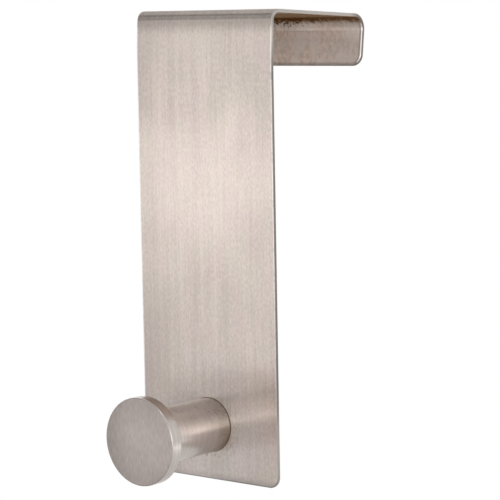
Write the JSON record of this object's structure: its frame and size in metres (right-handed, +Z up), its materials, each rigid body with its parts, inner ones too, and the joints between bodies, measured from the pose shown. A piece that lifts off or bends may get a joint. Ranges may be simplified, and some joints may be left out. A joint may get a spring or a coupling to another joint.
{
  "type": "over door hook",
  "caption": "Folded flat steel strap that hangs over a door's top edge, with a short rear flange and a round headed knob low on its front plate.",
  "frame": {"origin": "mid width of the strap, on the front plate's back face, which lies on the door, at the height of the door's top edge", "axes": "+X along the strap's width, +Y from the front plate into the door, +Z up; the knob stands out towards -Y"},
  "size_m": [0.05, 0.0745, 0.1348],
  "materials": {
    "brushed_sheet": "brushed along the plate's height, warm grey, tarnished brown under the top bends",
    "turned_steel": "fine satin, warm grey, with a bright bevel round the head",
    "screw_steel": "plain machined stainless steel"
  },
  "bodies": {
    "root": {"strap": "brushed_sheet", "knob": "turned_steel", "fixing_screw": "screw_steel"}
  },
  "joints": []
}
